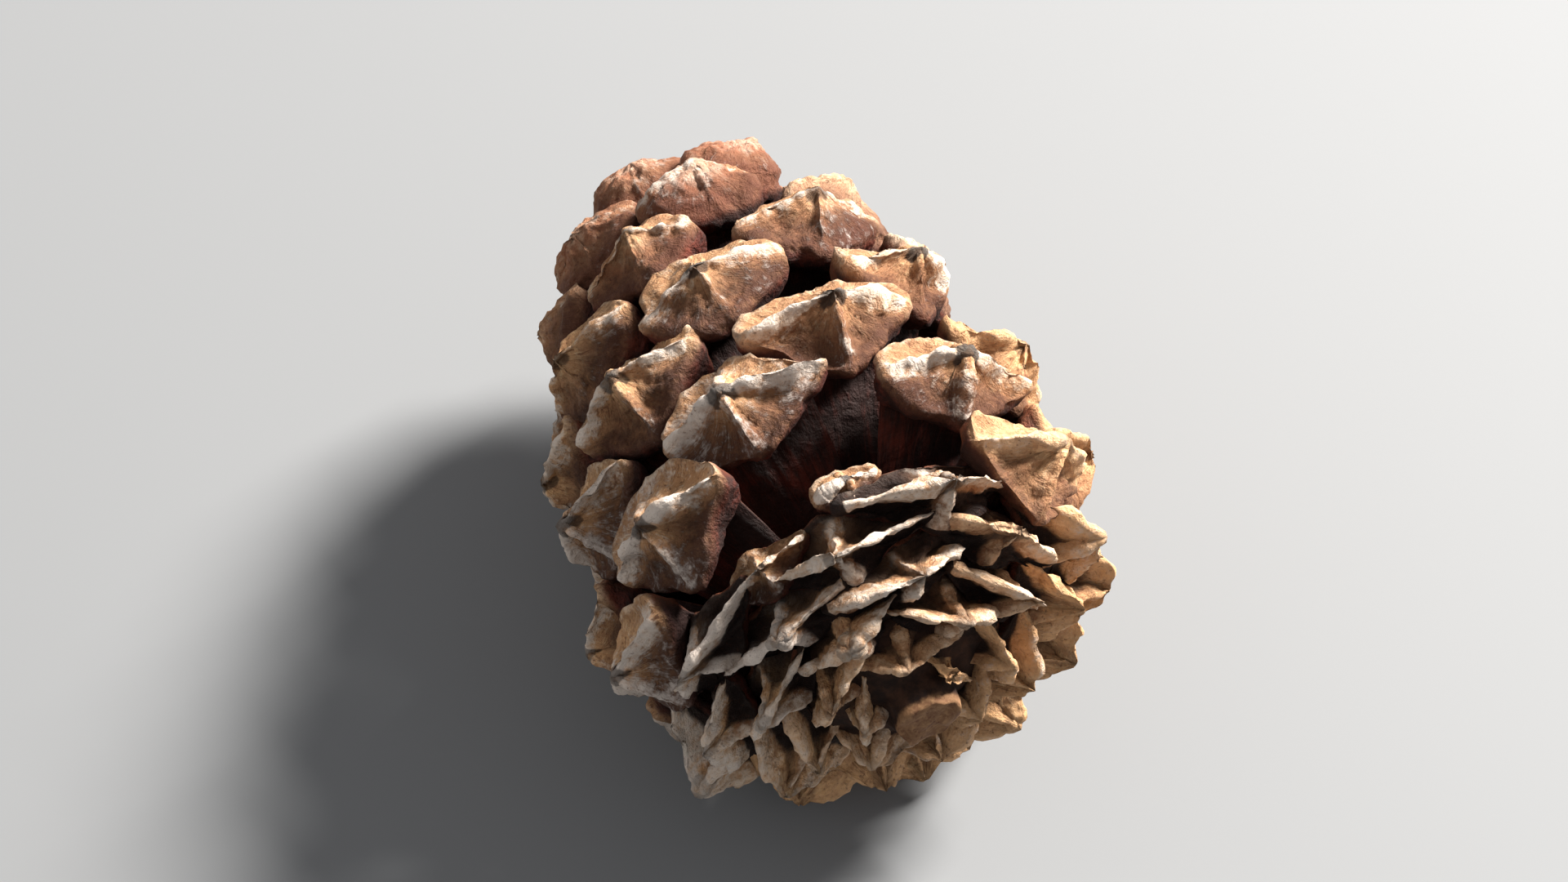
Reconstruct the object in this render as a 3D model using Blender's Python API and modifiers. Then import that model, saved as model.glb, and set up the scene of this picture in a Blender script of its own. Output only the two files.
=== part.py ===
"""An open pine cone lying on its side, as one woody solid: the axis and every seed scale on it.

The cone is grown along its own axis, stem end at height 0 and apex up, then laid down.
Metres, +Z up. The origin is under the middle of the laid cone, on the surface it lies on.
"""

import math

import bmesh
import bpy
from mathutils import Matrix, Vector

NAME = "pine_cone"

# Envelope through the tips of the scales, as an egg with its widest ring at the equator
EQUATOR_RADIUS = 0.0256
EQUATOR_HEIGHT = 0.0156
CROWN_HEIGHT = 0.0668
BASE_BLUNTNESS = 1.0
CROWN_BLUNTNESS = 0.94

# Spiral growth: the scales turn by the golden angle, and each takes its share of the envelope
GOLDEN_ANGLE = math.radians(137.508)
FIRST_AZIMUTH = math.radians(314.0)
SPIRAL_HAND = -1
STEM_GAP = math.radians(10.4)
APEX_GAP = math.radians(6.0)
GROWTH_STEPS = 2000
TIGHT_SHARE = 0.000088
OPEN_SHARE = 0.000190
OPENING_LATITUDE = -17.7
OPENING_SPAN = 18.0
CROWN_NARROWING = 0.40
STEM_NARROWING = 0.45
STEM_STRETCH = 0.5

# Shield at the end of a scale
TIGHT_WIDTH = 0.0164
OPEN_WIDTH = 0.0158
TIGHT_RISE = 0.18
OPEN_RISE = 0.30
TIGHT_DROP = 0.18
OPEN_DROP = 0.36
TIGHT_PEAK = 0.40
OPEN_PEAK = 0.27
ARCH_POWER = 1.8
CORNER_POWER = 1.2
KNOB_POWER = 2.1
INNER_RING = 0.50

# How the shield falls from its umbo to its rim, above 1 for a hollow; the crown's knobs are domes
KEEL_FALL = 0.6
UPRIGHT_FALL = 1.0
TIGHT_FALL = 3.0
OPEN_FALL = 1.9

# Scales that never grew to full size, by their number from the stem, and how far those stay back
STUNTED = {32: 0.6, 37: 0.42}
STUNTED_SINK = 0.010

# Directions from the cone's axis: of a scale, and of the face of its shield
OPENING_MIDDLE = math.radians(66.0)
OPENING_SWING = math.radians(48.0)
ROSETTE_SWING = math.radians(78.0)
STEM_SWING = math.radians(14.0)
FACING_MIDDLE = math.radians(98.0)
FACING_SWING = math.radians(42.0)
STEM_FACING = math.radians(22.0)

# Unevenness of the growth, as the most that one scale departs from the rule
UNEVEN_OPENING = math.radians(6.0)
UNEVEN_AZIMUTH = math.radians(3.0)
UNEVEN_TWIST = math.radians(10.0)
UNEVEN_WIDTH = 0.08
UNEVEN_RISE = 0.12

# Scale body
ROOT_RADIUS = 0.0030
ROOT_DEPTH = 0.0016
LEAST_LENGTH_SHARE = 0.85
ROOT_WIDTH_SHARE = 0.26
NECK_AT = 0.86
NECK_WIDTH_SHARE = 0.72
NECK_LIFT = 0.55
BLADE_THICKNESS = 0.0016
FLARE_RING = 0.40
RIM_ROUND = 2.2

# Woody axis: (radius, height) pairs from the broken stem to the apex
AXIS_PROFILE = (
    (0.0, -0.0004),
    (0.0028, -0.0002),
    (0.0036, 0.0024),
    (0.0080, 0.0046),
    (0.0110, 0.0080),
    (0.0102, 0.0125),
    (0.0070, 0.0185),
    (0.0052, 0.0280),
    (0.0042, 0.0420),
    (0.0028, 0.0550),
    (0.0, 0.0600),
)
AXIS_SIDES = 12

# How the cone lies: turned about its own axis, then tipped until three scales bear it
ROLL = math.radians(-1.42)
LEAN = math.radians(-3.66)
WORN_FLAT = 0.0005
BELOW_SIZE = 0.2

COLOUR = (0.36, 0.19, 0.09, 1.0)


def spread(number, step):
    """Even pseudo-random value in -1..1 for one scale: fractions of an irrational step."""
    return 2.0 * ((number * step) % 1.0) - 1.0


def envelope(latitude):
    """Radius and height of the envelope at a latitude from -90 to 90 degrees."""
    below = latitude < 0.0
    bluntness = BASE_BLUNTNESS if below else CROWN_BLUNTNESS
    reach = EQUATOR_HEIGHT if below else CROWN_HEIGHT - EQUATOR_HEIGHT
    radius = EQUATOR_RADIUS * max(math.cos(latitude), 0.0) ** bluntness
    return radius, EQUATOR_HEIGHT + reach * math.sin(latitude)


def openness(latitude):
    """0 on the tight rosette round the stem, 1 where the scales stand open."""
    x = (math.degrees(latitude) - OPENING_LATITUDE) / OPENING_SPAN + 0.5
    x = min(max(x, 0.0), 1.0)
    return x * x * (3.0 - 2.0 * x)


def between(tight, open_value, latitude):
    return tight + (open_value - tight) * openness(latitude)


def crown(latitude):
    """0 below the widest ring, 1 at the apex."""
    return max(math.sin(latitude), 0.0) ** 3


def stem(latitude):
    """0 above the rosette, 1 at the stem."""
    return max(-math.sin(latitude), 0.0) ** 6


def narrowing(latitude):
    return 1.0 - CROWN_NARROWING * crown(latitude) - STEM_NARROWING * stem(latitude)


def grown_latitudes():
    """Latitudes of the scales in growth order, each taking its own share of the envelope."""
    first = -math.pi / 2 + STEM_GAP
    last = math.pi / 2 - APEX_GAP
    step = (last - first) / GROWTH_STEPS
    found = []
    grown = 0.0
    for i in range(GROWTH_STEPS):
        low = first + i * step
        r0, z0 = envelope(low)
        r1, z1 = envelope(low + step)
        band = math.pi * (r0 + r1) * math.hypot(r1 - r0, z1 - z0)
        share = between(TIGHT_SHARE, OPEN_SHARE, low) * narrowing(low) ** 2
        grown += band / share
        if grown >= len(found) + 0.5:
            found.append(low)
    return found


def scale_frame(number, latitude):
    """Place, directions and sizes of one scale."""
    radius, height = envelope(latitude)
    swing = ROSETTE_SWING if latitude < 0.0 else OPENING_SWING
    opening = OPENING_MIDDLE - swing * math.sin(latitude) + STEM_SWING * stem(latitude)
    opening += UNEVEN_OPENING * spread(number, 0.7549) * openness(latitude)
    facing = FACING_MIDDLE - FACING_SWING * math.sin(latitude) + STEM_FACING * stem(latitude)
    azimuth = FIRST_AZIMUTH + SPIRAL_HAND * number * GOLDEN_ANGLE
    azimuth += UNEVEN_AZIMUTH * spread(number, 0.5698)
    out = Vector((math.cos(azimuth), math.sin(azimuth), 0.0))
    up = Vector((0.0, 0.0, 1.0))
    along = out * math.sin(opening) + up * math.cos(opening)
    twist = Matrix.Rotation(UNEVEN_TWIST * spread(number, 0.4302), 3, along)
    across = twist @ up.cross(out)
    size = STUNTED.get(number, 1.0)
    width = between(TIGHT_WIDTH, OPEN_WIDTH, latitude) * narrowing(latitude) * size
    width *= 1.0 + UNEVEN_WIDTH * spread(number, 0.8192)
    sink = STUNTED_SINK * (1.0 - size)
    length = (radius - min(ROOT_RADIUS, 0.4 * radius)) / math.sin(opening) - sink
    stretch = 1.0 + STEM_STRETCH * stem(latitude)
    rise = between(TIGHT_RISE, OPEN_RISE, latitude) * stretch
    rise *= 1.0 + UNEVEN_RISE * spread(number, 0.3247)
    tilt = facing - opening
    return {
        "umbo": out * radius + up * height - along * sink,
        "along": along,
        "across": across,
        "inner": along.cross(across),
        "face": (math.cos(tilt), -math.sin(tilt)),
        "upward": (math.sin(tilt), math.cos(tilt)),
        "length": max(length, LEAST_LENGTH_SHARE * width),
        "width": width,
        "peak": width * between(TIGHT_PEAK, OPEN_PEAK, latitude),
        "rise": width * rise,
        "drop": width * between(TIGHT_DROP, OPEN_DROP, latitude) * stretch,
        "arch": ARCH_POWER + (KNOB_POWER - ARCH_POWER) * crown(latitude),
        "corner": CORNER_POWER + (KNOB_POWER - CORNER_POWER) * crown(latitude),
        "fall": between(TIGHT_FALL, OPEN_FALL, latitude),
        "knob": crown(latitude),
    }


def outline(angle, f):
    """Point of the shield's outline: a rounded arch above the keel, a blunt corner below."""
    c, s = math.cos(angle), math.sin(angle)
    reach = f["rise"] if s >= 0.0 else f["drop"]
    power = f["arch"] if s >= 0.0 else f["corner"]
    size = (abs(c) ** power + abs(s) ** power) ** (-1.0 / power)
    return 0.5 * f["width"] * c * size, reach * s * size


RING_ANGLES = [math.radians(a) for a in (0, 38, 90, 142, 180, 225, 270, 315)]


def root_ring(half_width):
    """Section of the scale's thin blade in the axis, in (along, across, inner) coordinates."""
    thick = 0.5 * BLADE_THICKNESS
    return [(-ROOT_DEPTH, half_width * math.cos(a), thick * math.sin(a)) for a in RING_ANGLES]


def flare_ring(f, share):
    """Section between the blade's neck, at share 0, and the shield's rim, at share 1."""
    face, rise = f["face"], f["upward"]
    neck = NECK_AT * (f["length"] - f["peak"])
    rim = rise[1] * f["rise"] - face[1] * f["peak"]
    flare = 1.0 - (1.0 - share) ** RIM_ROUND
    h = -f["peak"] * share
    ring = []
    for angle in RING_ANGLES:
        a, b = outline(angle, f)
        y = 0.5 * f["width"] * NECK_WIDTH_SHARE * math.cos(angle)
        lift = (NECK_LIFT * rim + 0.5 * BLADE_THICKNESS * math.sin(angle)) * (1.0 - share)
        x = neck + (f["length"] - neck) * share + face[0] * h + rise[0] * b * flare
        z = lift + face[1] * h + rise[1] * b * flare
        ring.append((x, y + (a - y) * flare, z))
    return ring


def shield_ring(f, share):
    """Ring on the shield's face, between the umbo, at share 0, and the rim, at share 1."""
    face, rise = f["face"], f["upward"]
    ring = []
    for angle in RING_ANGLES:
        a, b = outline(angle, f)
        ridge = math.cos(2.0 * angle)
        fall = f["fall"] + (KEEL_FALL - f["fall"]) * max(ridge, 0.0)
        fall += (UPRIGHT_FALL - f["fall"]) * max(-ridge, 0.0)
        keeled = (1.0 - share) ** fall - 1.0
        domed = math.sqrt(1.0 - share * share) - 1.0
        h = f["peak"] * (keeled + (domed - keeled) * f["knob"])
        x = f["length"] + face[0] * h + rise[0] * b * share
        z = face[1] * h + rise[1] * b * share
        ring.append((x, a * share, z))
    return ring


def scale_rings(f):
    """Rings of one scale from its root to its umbo."""
    root = root_ring(0.5 * f["width"] * ROOT_WIDTH_SHARE)
    flared = [flare_ring(f, share) for share in (0.0, FLARE_RING, 1.0)]
    return [root, *flared, shield_ring(f, INNER_RING)]


def add_scale(number, latitude, collection):
    """One closed scale: rings lofted from the root, closed at the umbo."""
    f = scale_frame(number, latitude)
    origin = f["umbo"] - f["along"] * f["length"]
    bm = bmesh.new()
    rings = []
    for ring in scale_rings(f):
        rings.append(
            [
                bm.verts.new(origin + f["along"] * x + f["across"] * y + f["inner"] * z)
                for x, y, z in ring
            ]
        )
    umbo = bm.verts.new(f["umbo"])
    count = len(RING_ANGLES)
    for lower, upper in zip(rings, rings[1:]):
        for k in range(count):
            m = (k + 1) % count
            bm.faces.new((lower[k], lower[m], upper[m], upper[k]))
    bm.faces.new(rings[0][::-1])
    for k in range(count):
        bm.faces.new((rings[-1][k], rings[-1][(k + 1) % count], umbo))
    bmesh.ops.recalc_face_normals(bm, faces=bm.faces)
    bmesh.ops.triangulate(bm, faces=bm.faces)
    mesh = bpy.data.meshes.new(f"scale_{number}")
    bm.to_mesh(mesh)
    bm.free()
    scale = bpy.data.objects.new(f"scale_{number}", mesh)
    collection.objects.link(scale)
    return scale


def turned_axis(collection):
    """The woody axis, turned from its profile."""
    mesh = bpy.data.meshes.new("axis_profile")
    points = [(radius, 0.0, height) for radius, height in reversed(AXIS_PROFILE)]
    mesh.from_pydata(points, [(i, i + 1) for i in range(len(points) - 1)], [])
    axis = bpy.data.objects.new(NAME, mesh)
    collection.objects.link(axis)
    screw = axis.modifiers.new("turn", "SCREW")
    screw.axis = "Z"
    screw.steps = AXIS_SIDES
    screw.render_steps = AXIS_SIDES
    screw.use_merge_vertices = True
    screw.merge_threshold = 0.00001
    return axis


def applied(obj):
    """Replaces the object's mesh by what its modifiers make of it."""
    bpy.context.view_layer.update()
    graph = bpy.context.evaluated_depsgraph_get()
    mesh = bpy.data.meshes.new_from_object(obj.evaluated_get(graph))
    obj.modifiers.clear()
    obj.data = mesh
    return obj


def outer_skin(mesh):
    """Keeps the outer surface only, which fills any hollow that the joined scales seal."""
    bm = bmesh.new()
    bm.from_mesh(mesh)
    left = set(bm.faces)
    shells = []
    while left:
        stack = [left.pop()]
        shell = set(stack)
        while stack:
            for edge in stack.pop().edges:
                for face in edge.link_faces:
                    if face in left:
                        left.discard(face)
                        shell.add(face)
                        stack.append(face)
        shells.append(shell)
    shells.sort(key=len)
    for shell in shells[:-1]:
        bmesh.ops.delete(bm, geom=list(shell), context="FACES")
    bm.to_mesh(mesh)
    bm.free()


def laid_down(cone, collection):
    """Lays the grown cone on its side, apex towards +Y, and wears flat the tips that bear it."""
    cone.data.transform(
        Matrix.Rotation(LEAN - math.pi / 2, 4, "X") @ Matrix.Rotation(ROLL, 4, "Z")
    )
    points = [v.co for v in cone.data.vertices]
    low = Vector([min(p[i] for p in points) for i in range(3)])
    high = Vector([max(p[i] for p in points) for i in range(3)])
    middle = (low + high) / 2
    cone.data.transform(Matrix.Translation((-middle.x, -middle.y, -low.z - WORN_FLAT)))
    bm = bmesh.new()
    bmesh.ops.create_cube(bm, size=BELOW_SIZE)
    bmesh.ops.translate(bm, verts=bm.verts, vec=(0.0, 0.0, -BELOW_SIZE / 2))
    mesh = bpy.data.meshes.new("below")
    bm.to_mesh(mesh)
    bm.free()
    below = bpy.data.objects.new("below", mesh)
    collection.objects.link(below)
    wear = cone.modifiers.new("wear", "BOOLEAN")
    wear.operation = "DIFFERENCE"
    wear.object = below
    wear.solver = "MANIFOLD"
    applied(cone)
    bpy.data.objects.remove(below)


def woody_material():
    material = bpy.data.materials.new("pine_wood")
    material.use_nodes = True
    shader = material.node_tree.nodes["Principled BSDF"]
    shader.inputs["Base Color"].default_value = COLOUR
    shader.inputs["Roughness"].default_value = 0.75
    shader.inputs["Metallic"].default_value = 0.0
    return material


def main():
    for obj in list(bpy.data.objects):
        bpy.data.objects.remove(obj)
    scene = bpy.context.scene.collection
    parts = bpy.data.collections.new(NAME)
    scales = bpy.data.collections.new("scales")
    scene.children.link(parts)
    scene.children.link(scales)

    cone = applied(turned_axis(parts))
    latitudes = grown_latitudes()
    for number, latitude in enumerate(latitudes):
        add_scale(number, latitude, scales)
    join = cone.modifiers.new("join", "BOOLEAN")
    join.operation = "UNION"
    join.operand_type = "COLLECTION"
    join.collection = scales
    join.solver = "MANIFOLD"
    applied(cone)
    for scale in list(scales.objects):
        bpy.data.objects.remove(scale)
    laid_down(cone, scales)
    outer_skin(cone.data)
    bpy.data.collections.remove(scales)
    cone.data.materials.clear()
    cone.data.materials.append(woody_material())
    triangles = sum(len(face.vertices) - 2 for face in cone.data.polygons)
    print(len(latitudes), "scales,", triangles, "triangles")


main()
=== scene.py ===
import math

import bpy
import numpy as np
from mathutils import Matrix, Vector, noise


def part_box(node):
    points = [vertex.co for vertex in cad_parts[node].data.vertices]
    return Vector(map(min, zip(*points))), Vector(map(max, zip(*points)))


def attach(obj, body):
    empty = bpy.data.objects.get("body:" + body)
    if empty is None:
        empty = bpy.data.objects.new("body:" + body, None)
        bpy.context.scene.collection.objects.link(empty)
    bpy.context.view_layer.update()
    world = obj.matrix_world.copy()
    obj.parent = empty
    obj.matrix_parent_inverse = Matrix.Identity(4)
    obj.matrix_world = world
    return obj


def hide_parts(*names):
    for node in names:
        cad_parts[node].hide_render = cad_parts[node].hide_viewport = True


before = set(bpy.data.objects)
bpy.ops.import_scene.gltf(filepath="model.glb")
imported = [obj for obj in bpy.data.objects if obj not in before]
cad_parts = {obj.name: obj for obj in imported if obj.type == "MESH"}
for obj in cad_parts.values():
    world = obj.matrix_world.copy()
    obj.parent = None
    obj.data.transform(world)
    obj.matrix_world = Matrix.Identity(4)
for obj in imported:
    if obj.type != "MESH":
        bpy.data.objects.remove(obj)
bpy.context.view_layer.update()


# Node trees: sockets that take Python sums, and one method for any node
class Wire:
    def __init__(self, net, socket):
        self.net = net
        self.socket = socket

    def math(self, operation, *others):
        values = dict(enumerate((self, *others)))
        return self.net.add("ShaderNodeMath", {"operation": operation}, values)

    def __add__(self, other):
        return self.math("ADD", other)

    def __sub__(self, other):
        return self.math("SUBTRACT", other)

    def __rsub__(self, other):
        return (self * -1.0).math("ADD", other)

    def __mul__(self, other):
        return self.math("MULTIPLY", other)

    def __pow__(self, other):
        return self.math("POWER", other)

    def atLeast(self, other):
        return self.math("MAXIMUM", other)

    def atMost(self, other):
        return self.math("MINIMUM", other)

    def clamped(self):
        return self.atLeast(0.0).atMost(1.0)

    def step(self, low, high):  # smooth 0 to 1 between two values, either way round
        x = ((self - low) * (1.0 / (high - low))).clamped()
        return x * x * (3.0 - x * 2.0)


class Net:
    def __init__(self, tree):
        self.tree = tree
        tree.nodes.clear()

    def add(self, kind, settings=None, sockets=None, out=0):
        node = self.tree.nodes.new(kind)
        for name, value in (settings or {}).items():
            setattr(node, name, value)
        for key, value in (sockets or {}).items():
            self.feed(node.inputs[key], value)
        return Wire(self, node.outputs[out]) if node.outputs else None

    def feed(self, socket, value):
        if isinstance(value, Wire):
            self.tree.links.new(value.socket, socket)
        else:
            socket.default_value = value

    def attribute(self, name, out=2):  # 2 is the number, 1 the vector
        return self.add("ShaderNodeAttribute", {"attribute_name": name}, None, out)

    def named(self, name, kind="FLOAT"):
        return self.add("GeometryNodeInputNamedAttribute", {"data_type": kind}, {"Name": name})

    def vector(self, operation, *values):
        return self.add("ShaderNodeVectorMath", {"operation": operation}, dict(enumerate(values)))

    def scaled(self, direction, amount):
        sockets = {0: direction, "Scale": amount}
        return self.add("ShaderNodeVectorMath", {"operation": "SCALE"}, sockets)

    def joined(self, x, y, z):
        return self.add("ShaderNodeCombineXYZ", None, {0: x, 1: y, 2: z})

    def split(self, vector):
        node = self.tree.nodes.new("ShaderNodeSeparateXYZ")
        self.feed(node.inputs[0], vector)
        return [Wire(self, socket) for socket in node.outputs]

    def noise(self, place, scale, detail=3.0, roughness=0.55, distortion=0.0):
        sockets = {
            "Vector": place,
            "Scale": scale,
            "Detail": detail,
            "Roughness": roughness,
            "Distortion": distortion,
        }
        return self.add("ShaderNodeTexNoise", None, sockets)

    def blend(self, factor, first, second):
        return self.add("ShaderNodeMix", {"data_type": "RGBA"}, {0: factor, 6: first, 7: second}, 2)


def srgb(code):  # a colour from its six-figure code
    parts = [int(code[i : i + 2], 16) / 255 for i in (0, 2, 4)]
    return (*[p / 12.92 if p <= 0.04045 else ((p + 0.055) / 1.055) ** 2.4 for p in parts], 1.0)


# How the cone grew, in metres and degrees along its own axis, stem end at height 0
cone = {
    "equatorRadius": 0.0256,
    "equatorHeight": 0.0156,
    "crownHeight": 0.0668,
    "baseBluntness": 1.0,
    "crownBluntness": 0.94,
    "goldenAngle": math.radians(137.508),
    "firstAzimuth": math.radians(314.0),
    "spiralHand": -1,
    "stemGap": math.radians(10.4),
    "apexGap": math.radians(6.0),
    "growthSteps": 2000,
    "tightShare": 0.000088,
    "openShare": 0.000190,
    "openingLatitude": -17.7,
    "openingSpan": 18.0,
    "crownNarrowing": 0.40,
    "stemNarrowing": 0.45,
    "stemStretch": 0.5,
    "tightWidth": 0.0164,
    "openWidth": 0.0158,
    "tightRise": 0.18,
    "openRise": 0.30,
    "tightDrop": 0.18,
    "openDrop": 0.36,
    "tightPeak": 0.40,
    "openPeak": 0.27,
    "archPower": 1.8,
    "cornerPower": 1.2,
    "knobPower": 2.1,
    "stunted": {32: 0.6, 37: 0.42},
    "stuntedSink": 0.010,
    "openingMiddle": math.radians(66.0),
    "openingSwing": math.radians(48.0),
    "rosetteSwing": math.radians(78.0),
    "stemSwing": math.radians(14.0),
    "facingMiddle": math.radians(98.0),
    "facingSwing": math.radians(42.0),
    "stemFacing": math.radians(22.0),
    "unevenOpening": math.radians(6.0),
    "unevenAzimuth": math.radians(3.0),
    "unevenTwist": math.radians(10.0),
    "unevenWidth": 0.08,
    "unevenRise": 0.12,
    "rootRadius": 0.0030,
    "rootDepth": 0.0016,
    "leastLengthShare": 0.85,
    "rootWidthShare": 0.26,
    "neckAt": 0.86,
    "neckWidthShare": 0.72,
    "neckLift": 0.55,
    "bladeThickness": 0.0016,
    "roll": math.radians(-1.42),
    "lean": math.radians(-3.66),
}


def spread(number, step):
    return 2.0 * ((number * step) % 1.0) - 1.0


def envelope(latitude):
    below = latitude < 0.0
    bluntness = cone["baseBluntness"] if below else cone["crownBluntness"]
    reach = cone["equatorHeight"] if below else cone["crownHeight"] - cone["equatorHeight"]
    radius = cone["equatorRadius"] * max(math.cos(latitude), 0.0) ** bluntness
    return radius, cone["equatorHeight"] + reach * math.sin(latitude)


def openness(latitude):
    x = (math.degrees(latitude) - cone["openingLatitude"]) / cone["openingSpan"] + 0.5
    x = min(max(x, 0.0), 1.0)
    return x * x * (3.0 - 2.0 * x)


def between(name, latitude):  # from the rosette's value to the open scales'
    tight = cone["tight" + name]
    return tight + (cone["open" + name] - tight) * openness(latitude)


def crownShare(latitude):  # 0 below the widest ring, 1 at the apex
    return max(math.sin(latitude), 0.0) ** 3


def stemShare(latitude):  # 0 above the rosette, 1 at the stem
    return max(-math.sin(latitude), 0.0) ** 6


def narrowing(latitude):  # scales are smaller at both ends
    atCrown = cone["crownNarrowing"] * crownShare(latitude)
    return 1.0 - atCrown - cone["stemNarrowing"] * stemShare(latitude)


def grownLatitudes():
    first = -math.pi / 2 + cone["stemGap"]
    last = math.pi / 2 - cone["apexGap"]
    step = (last - first) / cone["growthSteps"]
    found = []
    grown = 0.0
    for i in range(cone["growthSteps"]):
        low = first + i * step
        r0, z0 = envelope(low)
        r1, z1 = envelope(low + step)
        band = math.pi * (r0 + r1) * math.hypot(r1 - r0, z1 - z0)
        grown += band / (between("Share", low) * narrowing(low) ** 2)
        if grown >= len(found) + 0.5:
            found.append(low)
    return found


def scaleFrame(number, latitude):
    radius, height = envelope(latitude)
    swing = cone["rosetteSwing"] if latitude < 0.0 else cone["openingSwing"]
    opening = cone["openingMiddle"] - swing * math.sin(latitude)
    opening += cone["stemSwing"] * stemShare(latitude)
    opening += cone["unevenOpening"] * spread(number, 0.7549) * openness(latitude)
    facing = cone["facingMiddle"] - cone["facingSwing"] * math.sin(latitude)
    facing += cone["stemFacing"] * stemShare(latitude)
    azimuth = cone["firstAzimuth"] + cone["spiralHand"] * number * cone["goldenAngle"]
    azimuth += cone["unevenAzimuth"] * spread(number, 0.5698)
    out = Vector((math.cos(azimuth), math.sin(azimuth), 0.0))
    up = Vector((0.0, 0.0, 1.0))
    along = out * math.sin(opening) + up * math.cos(opening)
    twist = Matrix.Rotation(cone["unevenTwist"] * spread(number, 0.4302), 3, along)
    across = twist @ up.cross(out)
    size = cone["stunted"].get(number, 1.0)
    width = between("Width", latitude) * narrowing(latitude) * size
    width *= 1.0 + cone["unevenWidth"] * spread(number, 0.8192)
    sink = cone["stuntedSink"] * (1.0 - size)
    length = (radius - min(cone["rootRadius"], 0.4 * radius)) / math.sin(opening) - sink
    length = max(length, cone["leastLengthShare"] * width)
    tilt = facing - opening
    peak = width * between("Peak", latitude)
    stretch = 1.0 + cone["stemStretch"] * stemShare(latitude)
    rise = width * between("Rise", latitude) * stretch
    rise *= 1.0 + cone["unevenRise"] * spread(number, 0.3247)
    drop = width * between("Drop", latitude) * stretch
    rim = math.cos(tilt) * rise + math.sin(tilt) * peak
    umbo = out * radius + up * height - along * sink
    return {
        "root": umbo - along * length,
        "along": along,
        "across": across,
        "inner": along.cross(across),
        "sizes": (length, width, peak),
        "reach": (rise, drop, rim),
        "turn": (math.cos(tilt), math.sin(tilt), cone["neckAt"] * (length - peak)),
        "latitude": latitude,
        "openness": openness(latitude),
        "crown": crownShare(latitude),
        "number": number,
    }


def outline(angle, crown):  # the shield's outline in widths, and in rises or drops
    c = math.cos(angle)
    s = math.sin(angle)
    power = cone["archPower"] if s >= 0.0 else cone["cornerPower"]
    power += (cone["knobPower"] - power) * crown
    size = (abs(c) ** power + abs(s) ** power) ** (-1.0 / power)
    return 0.5 * c * size, s * size


laying = Matrix.Rotation(cone["lean"] - math.pi / 2, 3, "X") @ Matrix.Rotation(cone["roll"], 3, "Z")


def cornerPoints(f):  # the points of the coarse scale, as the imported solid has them
    length, width, peak = f["sizes"]
    rise, drop = f["reach"][:2]
    c, s = f["turn"][:2]
    points = [f["root"] + f["along"] * length]
    for degrees in (0, 38, 90, 142, 180, 225, 270, 315):
        a, b = outline(math.radians(degrees), f["crown"])
        b *= rise if b >= 0.0 else drop
        x = length - c * peak + s * b
        z = s * peak + c * b
        points.append(f["root"] + f["along"] * x + f["across"] * a * width + f["inner"] * z)
    return points


frames = [scaleFrame(number, latitude) for number, latitude in enumerate(grownLatitudes())]
corners = [laying @ p for f in frames for p in cornerPoints(f)]
cornerLow = Vector([min(p[i] for p in corners) for i in range(3)])
cornerHigh = Vector([max(p[i] for p in corners) for i in range(3)])
boxLow, boxHigh = (Vector(corner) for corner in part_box("pine_cone"))
shift = (boxLow + boxHigh) / 2 - (cornerLow + cornerHigh) / 2
shift.z = boxHigh.z - cornerHigh.z
print(len(frames), "scales grown, frame and rule differ by", (boxHigh - boxLow) - (cornerHigh - cornerLow))


# One scale in its own terms: (along, across, peak) shares as its points, the rest as attributes
template = {
    "sides": 72,
    "crowding": 0.15,
    "bladeRings": 7,
    "flareRings": 9,
    "shieldRings": 22,
    "looks": 3,
    "keelWidth": (0.34, 0.27),
    "keelTaper": (1.1, 0.3),
    "taperMiddle": 0.45,
    "uprightWidth": (0.30, 0.18),
    "upperUpright": 0.8,
    "hollow": (4.0, 2.5),
    "keelFall": 0.62,
    "uprightFall": 0.95,
    "uprightWear": (0.95, 0.42),
    "rimRound": 2.2,
    "rimWave": 0.07,
    "rimWaves": ((3.0, 1.0), (5.0, 0.6), (9.0, 0.3)),
    "swell": 0.16,
    "swellWaves": ((3.0, 1.0), (7.0, 0.7)),
    "flute": 0.14,
    "fluteWaves": ((11.0, 1.0), (17.0, 1.0)),
    "ripple": 0.24,
    "rippleWaves": 13.0,
    "drift": 0.07,
    "umboHalf": (0.085, 0.045),
    "umboRecess": 0.07,
    "umboKinds": (0.3, 1.0),
    "seedPit": 0.9,
    "seedPitAcross": (0.13, 0.07),
    "seedPitAlong": (0.55, 0.28),
    "seed": 7,
}
# How open and how knob-like each kind of scale is: from the rosette to the apex
kinds = ((0.0, 0.0), (0.5, 0.0), (1.0, 0.0), (1.0, 0.2), (1.0, 0.5), (1.0, 0.85))


def mixed(pair, share):
    return pair[0] + (pair[1] - pair[0]) * share


def bell(x):
    return math.exp(-x * x)


def waving(waves, angle, starts):  # a sum of waves, each with its number round the turn and size
    return sum(size * math.sin(number * angle + start) for (number, size), start in zip(waves, starts))


def ringAngles():  # closer together beside the four ridges
    steps = [2.0 * math.pi * k / template["sides"] for k in range(template["sides"])]
    return [x - template["crowding"] * math.sin(4.0 * x) for x in steps]


def ridgeShares(share, angle, opened, crown):  # the keel narrows from the umbo to its two ends
    taper = 1.0 + mixed(template["keelTaper"], opened) * (template["taperMiddle"] - share)
    keel = bell(math.sin(angle) / (mixed(template["keelWidth"], opened) * taper))
    upright = bell(math.cos(angle) / mixed(template["uprightWidth"], opened))
    upright *= template["upperUpright"] if math.sin(angle) > 0.0 else 1.0
    return keel * (1.0 - crown), upright * (1.0 - crown)


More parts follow.
